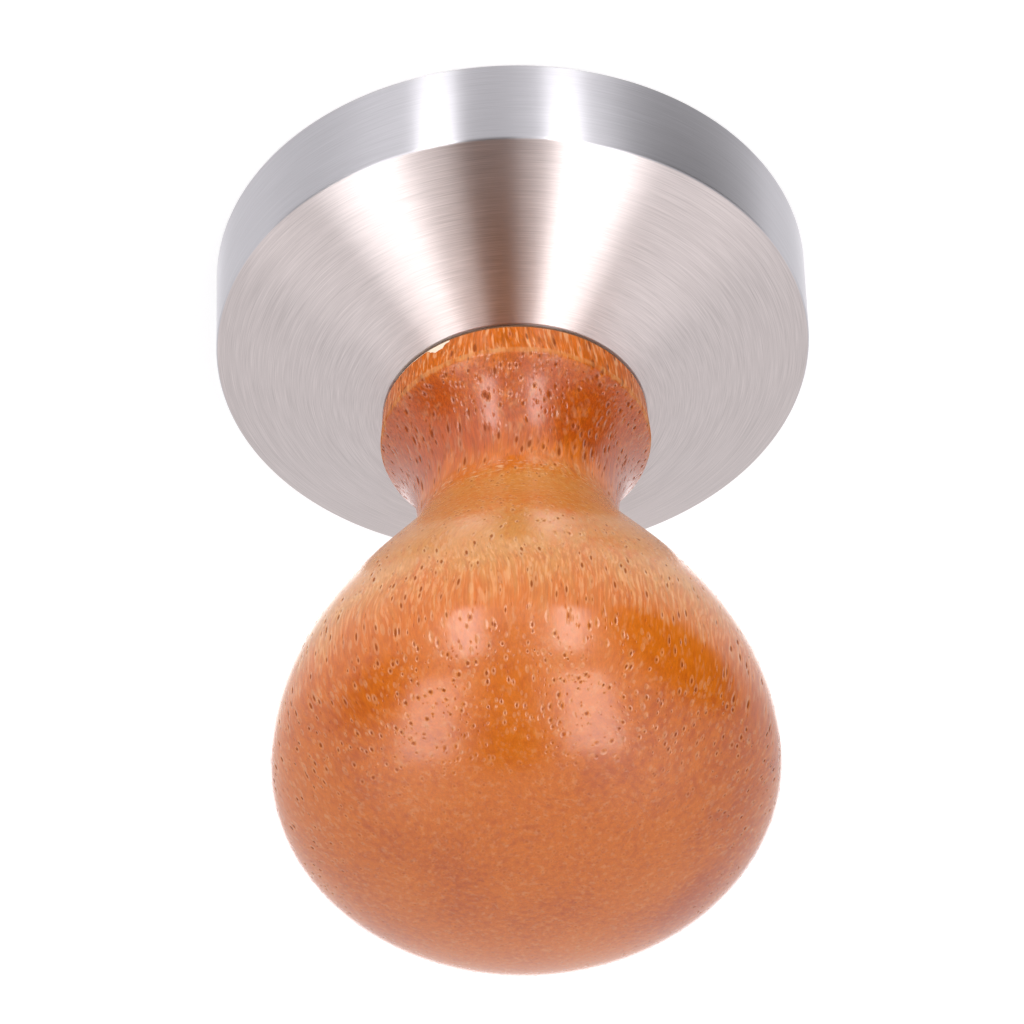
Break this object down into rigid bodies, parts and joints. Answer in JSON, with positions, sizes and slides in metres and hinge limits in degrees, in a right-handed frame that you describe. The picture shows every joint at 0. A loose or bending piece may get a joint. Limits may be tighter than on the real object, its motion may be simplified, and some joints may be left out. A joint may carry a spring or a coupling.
{
  "type": "espresso tamper",
  "caption": "Coffee tamper with a heavy round stainless-steel base and a pear-shaped turned wooden handle that unscrews.",
  "frame": {"origin": "centre of the flat sole", "axes": "+Z along the axis of the tool, from the sole to the top of the handle; the tool is a body of revolution, so X and Y are free"},
  "size_m": [0.058, 0.058, 0.0801],
  "materials": {
    "stainless_steel": "turned and satin polished: fine concentric lines on the cone, faint ones on the rim",
    "zinc_plated_steel": "zinc-plated, semi-bright",
    "brass": "machined, plain",
    "fibre": "matt black vulcanised fibre",
    "stained_wood": "orange-brown stain under glossy clear lacquer, open pores"
  },
  "bodies": {
    "base": {"tamper_base": "stainless_steel", "threaded_stud": "zinc_plated_steel"},
    "washer": {"washer": "fibre"},
    "handle": {"wood_handle": "stained_wood", "threaded_insert": "brass"}
  },
  "joints": [
    {"name": "handle_rise", "type": "slide", "parent": "base", "child": "washer", "axis": [0, 0, 1], "range_m": [0, 0.01125]},
    {"name": "handle_turn", "type": "hinge", "parent": "washer", "child": "handle", "pos_m": [0, 0, 0.0203], "axis": [0, 0, 1], "range_deg": [0, 3240]}
  ],
  "couplings": [
    {"joint": "handle_rise", "follows": "handle_turn", "m_per_rad": 0.00019894}
  ]
}
